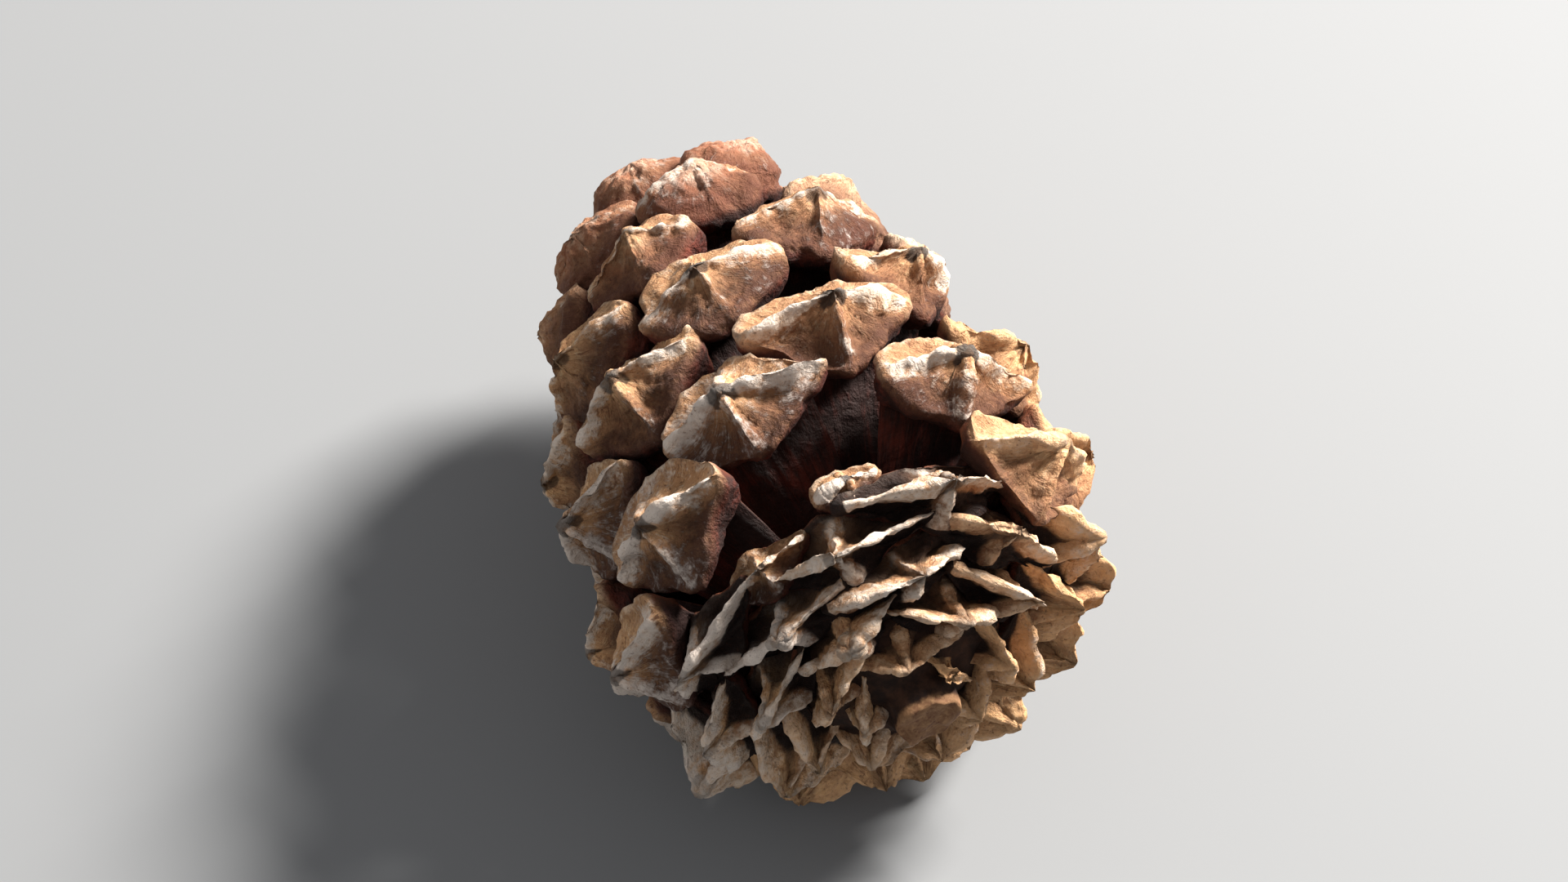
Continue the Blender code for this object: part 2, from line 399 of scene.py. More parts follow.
def shieldHeight(share, angle, a, b, kind, waves):  # 0 at the umbo, -1 at the rim, in peaks
    opened, crown = kind
    keel, upright = ridgeShares(share, angle, opened, crown)
    hollow = mixed(template["hollow"], opened)
    fall = hollow - (hollow - template["keelFall"]) * keel
    fall -= (hollow - template["uprightFall"]) * upright * (1.0 - keel)
    h = (1.0 - share) ** fall - 1.0
    h += (math.sqrt(1.0 - share * share) - 1.0 - h) * crown
    bulge = share * (1.0 - share)
    h += template["swell"] * waving(template["swellWaves"], angle, waves[0:2]) * bulge
    flutes = waving(template["fluteWaves"], angle, waves[4:6])
    h += template["flute"] * flutes * share * bulge * (1.0 - keel)
    h += template["ripple"] * math.sin(template["rippleWaves"] * share + waves[2]) * keel * bulge
    return h - umboDepth(kind) * umboShare(share, a, b, kind)


def umboDepth(kind):  # shallow in the rosette, none on the knobs
    opened, crown = kind
    return template["umboRecess"] * mixed(template["umboKinds"], opened) * (1.0 - crown)


def umboShare(share, a, b, kind):  # 1 on the umbo, 0 off it
    halfWide, halfTall = template["umboHalf"]
    rise = mixed((cone["tightRise"], cone["openRise"]), kind[0])
    return bell(((a * share / halfWide) ** 2 + (b * rise * share / halfTall) ** 2) ** 1.5)


def seedHollow(a, q):  # 1 in the two hollows where the seeds sat
    across, halfAcross = template["seedPitAcross"]
    along, halfAlong = template["seedPitAlong"]
    return bell((abs(a) - across) / halfAcross) * bell((q - along) / halfAlong)


def templatePoint(point, form, share, angle, marks=(0, 0)):
    return point, form, (share, math.cos(angle), math.sin(angle)), marks


def bladeRing(q, angles):
    narrow = 0.5 * cone["rootWidthShare"]
    half = narrow + (0.5 * cone["neckWidthShare"] - narrow) * q ** 0.8
    ring = []
    for angle in angles:
        a = half * math.cos(angle)
        c = 0.5 * math.sin(angle)
        if c > 0.0:
            c -= template["seedPit"] * c * seedHollow(a, q)
        form = (0.0, c, cone["neckLift"] * q)
        ring.append(templatePoint((q, a, 0.0), form, 3.0 - q, angle))
    return ring


def flareRing(q, angles, edges):
    flare = 1.0 - (1.0 - q) ** template["rimRound"]
    ring = []
    for angle, (a, b) in zip(angles, edges):
        across = 0.5 * cone["neckWidthShare"] * math.cos(angle)
        across += (a - across) * flare
        form = (b * flare, 0.5 * math.sin(angle) * (1.0 - q), cone["neckLift"] * (1.0 - q))
        ring.append(templatePoint((1.0 + q, across, -q), form, 2.0 - q, angle))
    return ring


def shieldRing(share, angles, edges, kind, waves, drift):
    opened, crown = kind
    slide = drift * (1.0 - share) ** 2
    ring = []
    for angle, (a, b) in zip(angles, edges):
        h = shieldHeight(share, angle, a, b, kind, waves)
        keel, upright = ridgeShares(share, angle, opened, crown)
        ridge = max(keel, mixed(template["uprightWear"], opened) * upright)
        marks = (ridge, umboShare(share, a, b, kind))
        form = (b * share + 0.6 * slide, 0.0, 0.0)
        ring.append(templatePoint((2.0, a * share + slide, h), form, share, angle, marks))
    return ring


def templateRings(kind, look):
    opened, crown = kind
    rng = np.random.default_rng(template["seed"] + look + int(10 * opened) + int(100 * crown))
    waves = rng.uniform(0.0, 2.0 * math.pi, 6)
    drift = rng.uniform(-template["drift"], template["drift"]) * (1.0 - 0.5 * crown)
    angles = ringAngles()
    edges = []
    for angle in angles:
        a, b = outline(angle, crown)
        size = 1.0 + template["rimWave"] * waving(template["rimWaves"], angle, waves[3:6])
        edges.append((a * size, b * size))
    blades = template["bladeRings"]
    flares = template["flareRings"]
    shields = template["shieldRings"]
    rings = [bladeRing(i / blades, angles) for i in range(blades)]
    rings += [flareRing((i / flares) ** 0.8, angles, edges) for i in range(flares + 1)]
    for i in range(1, shields):
        share = 1.0 - (i / shields) ** 0.9
        rings.append(shieldRing(share, angles, edges, kind, waves, drift))
    tip = ((2.0, drift, -umboDepth(kind)), (0.6 * drift, 0.0, 0.0), (0.0, 0.0, 0.0), (1.0, 1.0))
    return rings, tip


def templateMesh(name, kind, look):
    rings, tip = templateRings(kind, look)
    sides = template["sides"]
    points = [p for ring in rings for p in ring] + [tip]
    faces = [tuple(range(sides - 1, -1, -1))]
    for i in range(len(rings) - 1):
        low = i * sides
        for k in range(sides):
            m = (k + 1) % sides
            faces.append((low + k, low + m, low + sides + m, low + sides + k))
    last = (len(rings) - 1) * sides
    faces += [(last + k, last + (k + 1) % sides, len(points) - 1) for k in range(sides)]
    mesh = bpy.data.meshes.new(name)
    mesh.from_pydata([p[0] for p in points], [], faces)
    for key, column in (("form", 1), ("place", 2)):
        layer = mesh.attributes.new(key, "FLOAT_VECTOR", "POINT")
        layer.data.foreach_set("vector", np.array([p[column] for p in points], "f").ravel())
    for key, column in (("ridge", 0), ("umbo", 1)):
        layer = mesh.attributes.new(key, "FLOAT", "POINT")
        layer.data.foreach_set("value", np.array([p[3][column] for p in points], "f"))
    mesh.polygons.foreach_set("use_smooth", [True] * len(faces))
    mesh.update()
    return mesh


templates = bpy.data.collections.new("templates")
for number, kind in enumerate(kinds):
    for look in range(template["looks"]):
        name = f"scaleTemplate{number}{look}"
        templates.objects.link(bpy.data.objects.new(name, templateMesh(name, kind, look)))


def templateIndex(f):  # the kind nearest to the scale, in one of its looks
    gaps = [abs(f["openness"] - opened) + abs(f["crown"] - crown) for opened, crown in kinds]
    return gaps.index(min(gaps)) * template["looks"] + f["number"] * 5 % template["looks"]


# Geometry Nodes: a template at each point, then shaped by the point's own directions and sizes
growth = {
    "weathering": 0.0008,
    "weatherGrain": 620.0,
    "lumps": 0.0015,
    "lumpGrain": 150.0,
    "fibreDepth": 0.00008,
    "fibreRound": 9.0,
    "fibreAlong": 0.7,
    "fibreGrain": 1.6,
    "toneShift": 37.0,
    "seed": 11.0,
    # the weather side, which is also the side away from the key lamp
    "weatherAndShadeFrom": (-0.78, 0.29, 0.55),
}


def growthTree(material):
    tree = bpy.data.node_groups.new("growScales", "GeometryNodeTree")
    side = tree.interface
    side.new_socket("Geometry", in_out="INPUT", socket_type="NodeSocketGeometry")
    side.new_socket("Templates", in_out="INPUT", socket_type="NodeSocketCollection")
    for name in ("Weathering", "Weather grain", "Lumps", "Lump grain", "Fibre depth", "Seed"):
        side.new_socket(name, in_out="INPUT", socket_type="NodeSocketFloat")
    side.new_socket("Geometry", in_out="OUTPUT", socket_type="NodeSocketGeometry")
    net = Net(tree)
    entry = tree.nodes.new("NodeGroupInput")
    given = {socket.name: Wire(net, socket) for socket in entry.outputs if socket.name}
    picked = net.add(
        "GeometryNodeCollectionInfo",
        {"transform_space": "ORIGINAL"},
        {"Collection": given["Templates"], "Separate Children": True, "Reset Children": True},
    )
    placed = net.add(
        "GeometryNodeInstanceOnPoints",
        None,
        {
            "Points": given["Geometry"],
            "Instance": picked,
            "Pick Instance": True,
            "Instance Index": net.named("variant", "INT"),
        },
    )
    real = net.add("GeometryNodeRealizeInstances", None, {"Geometry": placed})
    at, a, h = net.split(net.add("GeometryNodeInputPosition"))
    b, c, lift = net.split(net.named("form", "FLOAT_VECTOR"))
    length, width, peak = net.split(net.named("sizes", "FLOAT_VECTOR"))
    rise, drop, rim = net.split(net.named("reach", "FLOAT_VECTOR"))
    cosTilt, sinTilt, neck = net.split(net.named("turn", "FLOAT_VECTOR"))
    reach = b.atLeast(0.0) * rise + b.atMost(0.0) * drop
    onBlade = at.atMost(1.0)
    x = (onBlade - 1.0) * cone["rootDepth"] + neck * onBlade + (length - neck) * (at - 1.0).atLeast(0.0)
    x = x + cosTilt * peak * h + sinTilt * reach
    z = rim * lift + c * cone["bladeThickness"] - sinTilt * peak * h + cosTilt * reach
    spot = net.named("root", "FLOAT_VECTOR")
    for direction, amount in (("along", x), ("across", width * a), ("inner", z)):
        spot = net.vector("ADD", spot, net.scaled(net.named(direction, "FLOAT_VECTOR"), amount))
    shaped = net.add("GeometryNodeSetPosition", None, {"Geometry": real, "Position": spot})
    here = net.vector("ADD", net.add("GeometryNodeInputPosition"), net.joined(given["Seed"], 0.0, 0.0))
    rough = net.noise(here, given["Weather grain"], 4.0, 0.6)
    lumps = net.noise(here, given["Lump grain"], 1.0, 0.5)
    share, cosAngle, sinAngle = net.split(net.named("place", "FLOAT_VECTOR"))
    around = growth["fibreRound"]
    along = share * growth["fibreAlong"] + net.named("tone") * growth["toneShift"]
    fibrePlace = net.joined(cosAngle * around, sinAngle * around, along)
    fibre = net.noise(fibrePlace, growth["fibreGrain"], 2.0, 0.7)
    offset = (rough - 0.5) * given["Weathering"] * 2.0
    offset = offset + (lumps - 0.5) * given["Lumps"] * 2.0 * share.step(1.6, 0.9)
    offset = offset + (fibre - 0.5) * given["Fibre depth"] * 2.0 * share.step(0.05, 0.5)
    normal = net.add("GeometryNodeInputNormal")
    worn = net.add(
        "GeometryNodeSetPosition",
        None,
        {"Geometry": shaped, "Offset": net.scaled(normal, offset)},
    )
    x, y, z = net.split(net.add("GeometryNodeInputPosition"))  # tips worn flat where it lies
    rested = net.add(
        "GeometryNodeSetPosition",
        None,
        {"Geometry": worn, "Position": net.joined(x, y, z.atLeast(0.0))},
    )
    finished = net.add("GeometryNodeSetMaterial", None, {"Geometry": rested, "Material": material})
    leave = tree.nodes.new("NodeGroupOutput")
    net.feed(leave.inputs[0], finished)
    return tree


def weathering(f):  # 1 on the side turned to the weather, where the scales bleach, which is also the side away from the key lamp and masks painted shade; 0 on the lamp's side, which masks painted sunlight
    side = (laying @ f["along"]).dot(Vector(growth["weatherAndShadeFrom"]))
    return min(max(0.5 + 0.5 * side + 0.15 * spread(f["number"], 0.6823), 0.0), 1.0)


def grownPiece(name, chosen, tree):
    mesh = bpy.data.meshes.new(name)
    mesh.from_pydata([(0.0, 0.0, 0.0)] * len(chosen), [], [])
    rows = {
        "root": [laying @ f["root"] + shift for f in chosen],
        "along": [laying @ f["along"] for f in chosen],
        "across": [laying @ f["across"] for f in chosen],
        "inner": [laying @ f["inner"] for f in chosen],
        "sizes": [f["sizes"] for f in chosen],
        "reach": [f["reach"] for f in chosen],
        "turn": [f["turn"] for f in chosen],
    }
    for key, values in rows.items():
        layer = mesh.attributes.new(key, "FLOAT_VECTOR", "POINT")
        layer.data.foreach_set("vector", np.array([tuple(v) for v in values], "f").ravel())
    layer = mesh.attributes.new("variant", "INT", "POINT")
    layer.data.foreach_set("value", [templateIndex(f) for f in chosen])
    for key, values in {
        "tone": [0.5 + 0.5 * spread(f["number"], 0.6180) for f in chosen],
        "crown": [f["crown"] for f in chosen],
        "openness": [f["openness"] for f in chosen],
        "weather": [weathering(f) for f in chosen],
    }.items():
        layer = mesh.attributes.new(key, "FLOAT", "POINT")
        layer.data.foreach_set("value", values)
    piece = bpy.data.objects.new(name, mesh)
    bpy.context.scene.collection.objects.link(piece)
    grow = piece.modifiers.new("grow", "NODES")
    grow.node_group = tree
    values = {
        "Templates": templates,
        "Weathering": growth["weathering"],
        "Fibre depth": growth["fibreDepth"],
        "Weather grain": growth["weatherGrain"],
        "Lumps": growth["lumps"],
        "Lump grain": growth["lumpGrain"],
        "Seed": growth["seed"],
    }
    for item in tree.interface.items_tree:
        if item.in_out == "INPUT" and item.name in values:
            grow[item.identifier] = values[item.name]
    graph = bpy.context.evaluated_depsgraph_get()
    made = bpy.data.meshes.new_from_object(piece.evaluated_get(graph))
    piece.modifiers.clear()
    piece.data = made
    print(name, len(chosen), "scales,", sum(len(p.vertices) - 2 for p in made.polygons), "triangles")
    return piece


# Looks of the scales: bare facets under coats of other colours, some of them painted shade and painted
# sunlight
scaleLook = {
    "facet": srgb("D8AA7A"),
    "worn": srgb("D4BEA7"),
    # painted sunlight: the golden tone of worn crests on the key lamp's side
    "golden": srgb("D29C62"),
    "knob": srgb("8A503C"),
    "underside": srgb("24110D"),
    "undersideRed": srgb("5C2519"),
    "inner": srgb("5E3A28"),
    "rust": srgb("84482F"),
    "roughness": 0.58,
    "sheen": 0.25,
    "grains": {"tiny": 2400.0, "fine": 850.0, "chips": 420.0, "broad": 170.0, "blotch": 75.0},
    "fibreRound": 7.0,
    "bladeRound": 8.0,
    "reliefDepth": 0.0011,
    "reliefStrength": 0.85,
}
# Each coat's colour, the values of its mask at which it starts and is full, and its strength
scaleCoats = {
    "warmPatches": ("E2B280", 0.38, 0.62, 1.0),
    "darkBlotches": ("8A5C40", 0.58, 0.72, 0.60),
    "paleFibres": ("E2C49C", 0.50, 0.66, 0.60),
    "darkFibres": ("4A281A", 0.46, 0.34, 0.80),
    "ruddyScales": ("84482F", 0.60, 0.95, 0.35),
    "fadedScales": ("D0C6BE", 0.38, 0.05, 0.40),
    "cracks": ("4A281A", 0.030, 0.004, 0.60),
    "mottling": ("8A5C40", 0.60, 0.50, 0.45),
    "flecks": ("E2C49C", 0.60, 0.70, 0.50),
    # lower facets: partly darker wood, partly painted shade
    "lowerFacetsDarkAndShaded": ("6C3A22", 0.10, -0.55, 1.0),
    # painted shade on lower facets turned away from the key lamp
    "paintedShadeAwayFromLamp": ("2E1911", 0.35, 0.80, 0.85),
    # painted shadow along the lower rims
    "paintedLowerRimShadow": ("4A281A", 0.55, 0.85, 0.75),
    # painted shade in the hollows between ridges
    "paintedHollowShade": ("2E1911", 0.40, 1.15, 1.0),
    "knobTops": ("CDAE9C", 0.15, 0.80, 1.0),
    # painted shade under the crown knobs
    "paintedKnobUnderShade": ("4A2519", 0.80, 1.30, 0.70),
    "bleaching": ("D0C6BE", 0.35, 1.15, 0.75),
    # painted shade in the pits between the rosette's keels
    "paintedPitShade": ("1C0F0B", 0.06, 0.36, 1.0),
    "lichen": ("8F9078", 0.72, 0.80, 0.35),
    "specks": ("4A281A", 0.42, 0.30, 0.55),
    "umbo": ("2E2826", 0.30, 0.75, 1.0),
}


def coated(net, colour, name, mask, where=1.0):
    code, low, high, strength = scaleCoats[name]
    return net.blend(mask.step(low, high) * (where * strength), colour, srgb(code))


def facetColour(net, share, tone, weather, noises):  # bare wood with its fibres, cracks and specks
    tiny, fine, broad, blotch, fibre = noises
    colour = coated(net, scaleLook["facet"], "warmPatches", broad)
    colour = coated(net, colour, "darkBlotches", blotch * 0.6 + fine * 0.5)
    colour = coated(net, colour, "paleFibres", fibre)
    colour = coated(net, colour, "darkFibres", fibre)
    colour = coated(net, colour, "ruddyScales", tone)
    colour = coated(net, colour, "fadedScales", tone, weather.step(0.3, 0.7))
    broken = share.step(0.12, 0.40) * fine.step(0.40, 0.55)
    colour = coated(net, colour, "cracks", (fibre - 0.5).math("ABSOLUTE"), broken)
    colour = coated(net, colour, "mottling", fine * 0.75 + tiny * 0.35)
    return coated(net, colour, "flecks", fine * 0.7 + tiny * 0.4)


def lowerColour(net, colour, spots, weather, noises):  # painted shade on the lower facets, which are partly darker wood too, along the lower rims and in the hollows
    share, sinAngle, ridge, crown, tight = spots
    fine, broad, blotch, fibre = noises[1:]
    facet = share.step(0.12, 0.6) * crown.step(0.8, 0.3)
    # lower facets darker: partly the wood's own tone, partly painted shade where they turn from the light
    colour = coated(net, colour, "lowerFacetsDarkAndShaded", sinAngle, facet * (fine * 0.40 + broad * 0.40 + 0.18))
    # painted shade: lower facets on the side away from the key lamp go darker still
    below = sinAngle.step(0.10, -0.55) * facet * weather.step(0.35, 0.8)
    colour = coated(net, colour, "paintedShadeAwayFromLamp", fine * 0.7 + blotch * 0.6, below)
    # painted shadow in a band along the lower rim of each shield
    lowerRimShadow = share.step(0.62, 0.9) * sinAngle.step(0.0, -0.4)
    colour = coated(net, colour, "paintedLowerRimShadow", fine * 0.6 + fibre * 0.9, lowerRimShadow)
    # painted shade in the sunken parts away from the ridges, strongest in the rosette
    paintedHollowShade = share * 1.3 - ridge * 1.5 + tight * 0.25 + (fine - 0.5) * 0.8
    return coated(net, colour, "paintedHollowShade", paintedHollowShade, tight * 0.62 + 0.30)


def knobColour(net, share, sinAngle, fine, blotch):  # the rounded scales at the crown
    top = 0.62 - share * 0.7 + (fine - 0.5) * 1.8 + (blotch - 0.5) * 1.2
    knob = coated(net, scaleLook["knob"], "knobTops", top)
    # painted shade toward the knobs' rims and undersides
    return coated(net, knob, "paintedKnobUnderShade", share - sinAngle * 0.4 + fine * 0.5)


def wornColour(net, colour, spots, weather, noises):  # pale worn crests and rims, bleached on the weather side, turned golden by painted sunlight on the side facing the key lamp
    share, sinAngle, ridge, tight = spots
    fine, broad, blotch, fibre = noises[1:]
    worn = (ridge * 0.95 + (fine - 0.5) * 1.8 + (blotch - 0.5) * 1.0).step(0.40, 1.05)
    # painted sunlight: worn crests and rims facing the key lamp go golden
    paintedSunlight = weather.step(0.62, 0.22) * (fine * 0.6 + 0.45).clamped()
    wornAndSunlitTone = net.blend(paintedSunlight, scaleLook["worn"], scaleLook["golden"])
    colour = net.blend(worn * 0.90, colour, wornAndSunlitTone)
    bleached = ridge * 0.7 + (weather - 0.65) * 0.9 + (blotch - 0.5) * 1.6 + (fine - 0.5) * 2.0
    colour = coated(net, colour, "bleaching", bleached + (fibre - 0.5) * 1.3)
    rim = share.step(0.88, 0.99) * (fine * 0.9 + broad * 0.6).step(0.66, 0.90)
    rim = rim * sinAngle.step(-0.3, 0.3)
    return net.blend(rim * (0.60 - tight * 0.25), colour, wornAndSunlitTone)


def shieldColour(net, spots, noises):
    share, sinAngle, ridge, crown, tone = spots
    tiny, fine, broad, blotch = noises[:4]
    tight = net.attribute("openness").step(0.7, 0.1)
    weather = net.attribute("weather")
    colour = facetColour(net, share, tone, weather, noises)
    colour = lowerColour(net, colour, (share, sinAngle, ridge, crown, tight), weather, noises)
    knob = knobColour(net, share, sinAngle, fine, blotch)
    knobby = (crown + (broad - 0.5) * 0.5).step(0.15, 0.65) * (tone * 0.30 + 0.42)
    colour = net.blend(knobby, colour, knob)
    colour = wornColour(net, colour, (share, sinAngle, ridge, tight), weather, noises)
    # painted shade: the pits between keels go near black, mostly on tight scales and more on their lower side
    pitShade = share * 1.1 - ridge ** 1.8 * 1.25 + (fine - 0.5) * 0.3
    depth = (sinAngle.step(0.45, 0.0) * 0.15 + 0.84) * (tight * 0.97 + 0.02)
    colour = coated(net, colour, "paintedPitShade", pitShade, depth)
    colour = coated(net, colour, "lichen", blotch * 0.8 + fine * 0.3)
    colour = coated(net, colour, "specks", tiny)
    shown = crown.step(0.5, 0.1) * (tone * 0.5 + 0.38 - tight * 0.3)
    return coated(net, colour, "umbo", net.attribute("umbo") + (fine - 0.5) * 0.8, shown)


def bladeColour(net, share, sinAngle, fine, broad, grain):
    look = scaleLook
    below = net.blend((broad * 0.7 + grain * 0.5).step(0.55, 0.80), look["underside"], look["undersideRed"])
    above = net.blend(fine.step(0.35, 0.7), look["inner"], look["rust"])
    colour = net.blend(sinAngle.step(0.0, 0.5), below, above)
    return net.blend(share.step(1.5, 1.02) * fine.step(0.3, 0.7) * 0.35, colour, look["rust"])


def scaleMaterial():
    look = scaleLook
    material = bpy.data.materials.new("weatheredConeScale")
    material.use_nodes = True
    net = Net(material.node_tree)
    here = net.add("ShaderNodeTexCoord", None, None, 3)
    share, cosAngle, sinAngle = net.split(net.attribute("place", 1))
    ridge = net.attribute("ridge")
    tone = net.attribute("tone")
    crown = net.attribute("crown")
    grains = look["grains"]
    tiny = net.noise(here, grains["tiny"], 4.0, 0.6)
    fine = net.noise(here, grains["fine"], 6.0, 0.68)
    chips = net.noise(here, grains["chips"], 4.0, 0.62, 0.6)
    broad = net.noise(here, grains["broad"], 3.0, 0.6)
    blotch = net.noise(here, grains["blotch"], 2.0, 0.5)
    around = look["fibreRound"]
    along = share * 1.8 + tone * growth["toneShift"]
    fibre = net.noise(net.joined(cosAngle * around, sinAngle * around, along), 1.2, 6.0, 0.72, 1.4)
    grainPlace = net.joined(cosAngle * look["bladeRound"], sinAngle * 3.0, share * 4.5 + tone * 51.0)
    grain = net.noise(grainPlace, 1.0, 5.0, 0.7, 0.8)
    noises = (tiny, fine, broad, blotch, fibre)
    shieldTone = shieldColour(net, (share, sinAngle, ridge, crown, tone), noises)
    blade = bladeColour(net, share, sinAngle, fine, broad, grain)
    colour = net.blend((share + (fine - 0.5) * 0.3).step(1.30, 1.0), blade, shieldTone)
    onShield = share.step(1.2, 0.9)
    relief = chips * 0.9 + fine * 0.5 + tiny * 0.12
    relief = relief + fibre * onShield * 0.3 + grain * (1.0 - onShield) * 0.3
    sockets = {
        "Strength": look["reliefStrength"],
        "Distance": look["reliefDepth"],
        "Height": relief,
    }
    bump = net.add("ShaderNodeBump", None, sockets)
    roughness = fine * 0.3 + look["roughness"]
    sockets = {
        "Base Color": colour,
        "Roughness": roughness,
        "Specular IOR Level": look["sheen"],
        "Normal": bump,
    }
    shader = net.add("ShaderNodeBsdfPrincipled", None, sockets)
    net.add("ShaderNodeOutputMaterial", None, {"Surface": shader})
    return material


scaleWood = scaleMaterial()
tree = growthTree(scaleWood)
groups = {
    "rosetteScales": [f for f in frames if math.degrees(f["latitude"]) < -8.0],
    "openScales": [f for f in frames if -8.0 <= math.degrees(f["latitude"]) < 32.0],
    "crownScales": [f for f in frames if math.degrees(f["latitude"]) >= 32.0],
}
pieces = [grownPiece(name, chosen, tree) for name, chosen in groups.items()]
bpy.data.collections.remove(templates)


# The woody axis that carries them
axis = {
    "profile": (
        (0.0, -0.0004),
        (0.0028, -0.0002),
        (0.0036, 0.0024),
        (0.0080, 0.0046),
        (0.0110, 0.0080),
        (0.0102, 0.0125),
        (0.0070, 0.0185),
        (0.0052, 0.0280),
        (0.0042, 0.0420),
        (0.0028, 0.0550),
        (0.0, 0.0600),
    ),
    "sides": 96,
    "steps": 10,
    "roughening": 0.00035,
    "tearing": 0.00035,
    "stubTop": 0.0030,
    "lumpGrain": 500.0,
    "barkGrain": 700.0,
    "tornGrain": 1400.0,
    "ringsPerMetre": 1300.0,
    "roughness": 0.85,
    "seed": 7,
    "bark": srgb("1E110C"),
    "dust": srgb("4E3222"),
    "brokenWood": srgb("8E6C4C"),
    "pith": srgb("5A3826"),
}


def axisMaterial():
    material = bpy.data.materials.new("coneAxisBark")
    material.use_nodes = True
    net = Net(material.node_tree)
    here = net.attribute("grown", 1)
    x, y, height = net.split(here)
    grain = net.noise(here, axis["barkGrain"], 5.0, 0.65)
    radius = (x * x + y * y) ** 0.5
    colour = net.blend(grain.step(0.35, 0.75) * 0.6, axis["bark"], axis["dust"])
    torn = net.noise(here, axis["tornGrain"], 4.0, 0.7)
    ringPlace = net.joined(radius * axis["ringsPerMetre"] + torn * 2.5, grain * 2.0, 0.0)
    rings = net.noise(ringPlace, 1.0, 3.0)
    broken = net.blend((rings * 0.6 + torn * 0.5).step(0.42, 0.68), axis["pith"], axis["brokenWood"])
    colour = net.blend((height - grain * 0.0008).step(0.0004, -0.0002), colour, broken)
    bump = net.add("ShaderNodeBump", None, {"Strength": 0.5, "Distance": 0.0004, "Height": grain})
    sockets = {
        "Base Color": colour,
        "Roughness": axis["roughness"],
        "Specular IOR Level": scaleLook["sheen"],
        "Normal": bump,
    }
    shader = net.add("ShaderNodeBsdfPrincipled", None, sockets)
    net.add("ShaderNodeOutputMaterial", None, {"Surface": shader})
    return material


def turnedAxis():
    mesh = bpy.data.meshes.new("woodyAxis")
    profile = axis["profile"]
    points = [(0.0, 0.0, profile[-1][1])]
    for (r0, z0), (r1, z1) in zip(profile[-2::-1], profile[:0:-1]):
        for k in range(axis["steps"]):
            q = 1.0 - (k + 1) / axis["steps"]
            points.append((r0 + (r1 - r0) * q, 0.0, z0 + (z1 - z0) * q))
    mesh.from_pydata(points, [(i, i + 1) for i in range(len(points) - 1)], [])
    piece = bpy.data.objects.new("woodyAxis", mesh)
    bpy.context.scene.collection.objects.link(piece)
    turn = piece.modifiers.new("turn", "SCREW")
    turn.axis = "Z"
    turn.steps = axis["sides"]
    turn.render_steps = axis["sides"]
    turn.use_merge_vertices = True
    turn.merge_threshold = 0.00001
    graph = bpy.context.evaluated_depsgraph_get()
    made = bpy.data.meshes.new_from_object(piece.evaluated_get(graph))
    piece.modifiers.clear()
    piece.data = made
    noise.seed_set(axis["seed"])
    for v in made.vertices:
        stub = min(max((axis["stubTop"] - v.co.z) / axis["stubTop"], 0.0), 1.0)
        rough = axis["roughening"] + axis["tearing"] * stub
        v.co += noise.noise_vector(v.co * axis["lumpGrain"]) * rough
    layer = made.attributes.new("grown", "FLOAT_VECTOR", "POINT")
    layer.data.foreach_set("vector", np.array([tuple(v.co) for v in made.vertices], "f").ravel())
    made.transform(Matrix.Translation(shift) @ laying.to_4x4())
    made.materials.clear()
    made.materials.append(axisMaterial())
    return piece


pieces.append(turnedAxis())
for piece in pieces:
    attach(piece, "root")
    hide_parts("pine_cone")
print(len(pieces), "pieces ride on root")


# Pale floor, soft studio light, and a camera that looks down as the photograph does
studio = {
    "leanLeft": math.radians(27.4),
    "apexAway": math.radians(33.4),
    "lens": 150.0,
    "sensor": 36.0,
    "frameWidth": 0.146,
    "floorSize": 3.0,
    "floor": srgb("787A7C"),
    "floorRoughness": 0.8,
    "lamps": (
        {"name": "key", "from": (0.64, 0.74, 0.22), "power": 38.0, "size": 0.24, "colour": (1.0, 0.96, 0.91)},
        {"name": "fill", "from": (-0.8, 0.15, 0.7), "power": 1.5, "size": 0.8, "colour": (1.0, 0.97, 0.94)},
    ),
    "lampDistance": 0.9,
    "sky": (0.96, 0.96, 0.98, 1.0),
    "skyStrength": 0.36,
}


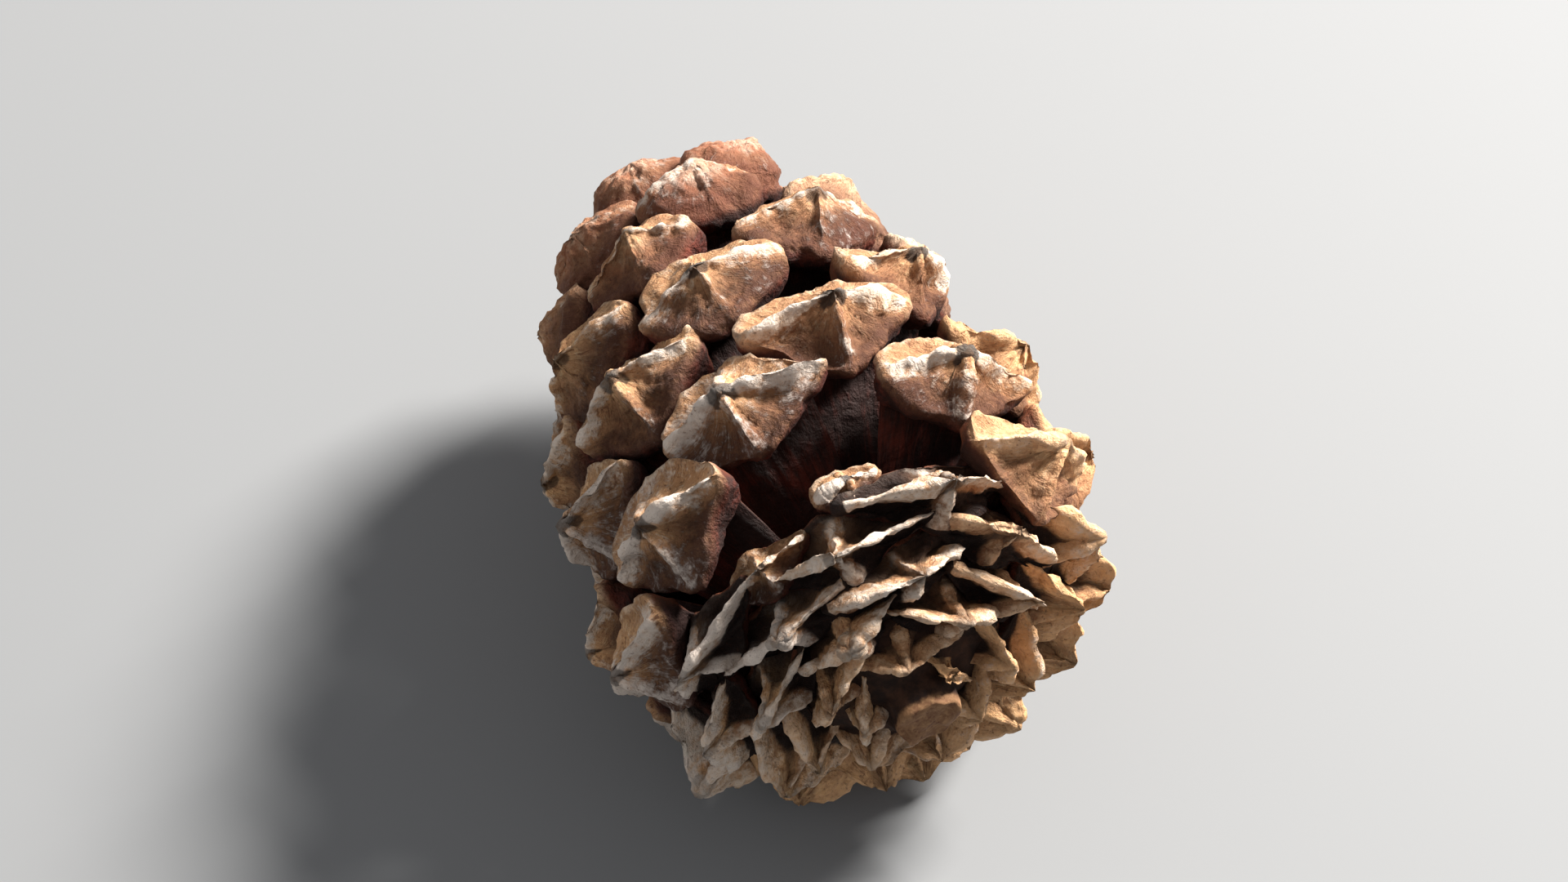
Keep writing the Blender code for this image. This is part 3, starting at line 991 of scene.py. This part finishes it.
def cameraTurn():  # the camera's axes, from how the cone's axis lies in the photograph
    d = studio["leanLeft"]
    t = studio["apexAway"]
    coneAxis = Vector((-math.sin(d) * math.cos(t), math.cos(d) * math.cos(t), -math.sin(t)))
    coneX = (Vector((1.0, 0.0, 0.0)) - coneAxis * coneAxis.x).normalized()
    toCamera = Matrix((coneX, coneAxis.cross(coneX), coneAxis)).transposed()
    return laying @ toCamera.transposed()


def makeFloor():
    half = studio["floorSize"] / 2
    corners = [(-half, -half, 0), (half, -half, 0), (half, half, 0), (-half, half, 0)]
    mesh = bpy.data.meshes.new("floor")
    mesh.from_pydata(corners, [], [(0, 1, 2, 3)])
    floor = bpy.data.objects.new("floor", mesh)
    bpy.context.scene.collection.objects.link(floor)
    material = bpy.data.materials.new("paleFloor")
    material.use_nodes = True
    shader = material.node_tree.nodes["Principled BSDF"]
    shader.inputs["Base Color"].default_value = studio["floor"]
    shader.inputs["Roughness"].default_value = studio["floorRoughness"]
    mesh.materials.append(material)


def makeCamera(turning, target):
    lens = bpy.data.cameras.new("camera")
    lens.lens = studio["lens"]
    lens.sensor_width = studio["sensor"]
    lens.clip_start = 0.01
    camera = bpy.data.objects.new("camera", lens)
    distance = studio["frameWidth"] * studio["lens"] / studio["sensor"]
    camera.location = target + turning @ Vector((0.0, 0.0, distance))
    camera.rotation_euler = turning.to_euler()
    bpy.context.scene.collection.objects.link(camera)
    bpy.context.scene.camera = camera


def makeLamp(settings, turning, target):
    lamp = bpy.data.lights.new(settings["name"], "AREA")
    lamp.energy = settings["power"]
    lamp.size = settings["size"]
    lamp.color = settings["colour"]
    holder = bpy.data.objects.new(settings["name"], lamp)
    back = (turning @ Vector(settings["from"])).normalized()
    holder.location = target + back * studio["lampDistance"]
    holder.rotation_euler = back.to_track_quat("Z", "Y").to_euler()
    bpy.context.scene.collection.objects.link(holder)


def makeSky():
    world = bpy.data.worlds.new("studio")
    world.use_nodes = True
    background = world.node_tree.nodes["Background"]
    background.inputs["Color"].default_value = studio["sky"]
    background.inputs["Strength"].default_value = studio["skyStrength"]
    bpy.context.scene.world = world


makeFloor()
turning = cameraTurn()
target = (boxLow + boxHigh) / 2
makeCamera(turning, target)
for settings in studio["lamps"]:
    makeLamp(settings, turning, target)
makeSky()
bpy.context.scene.view_settings.view_transform = "Standard"
print("studio ready")
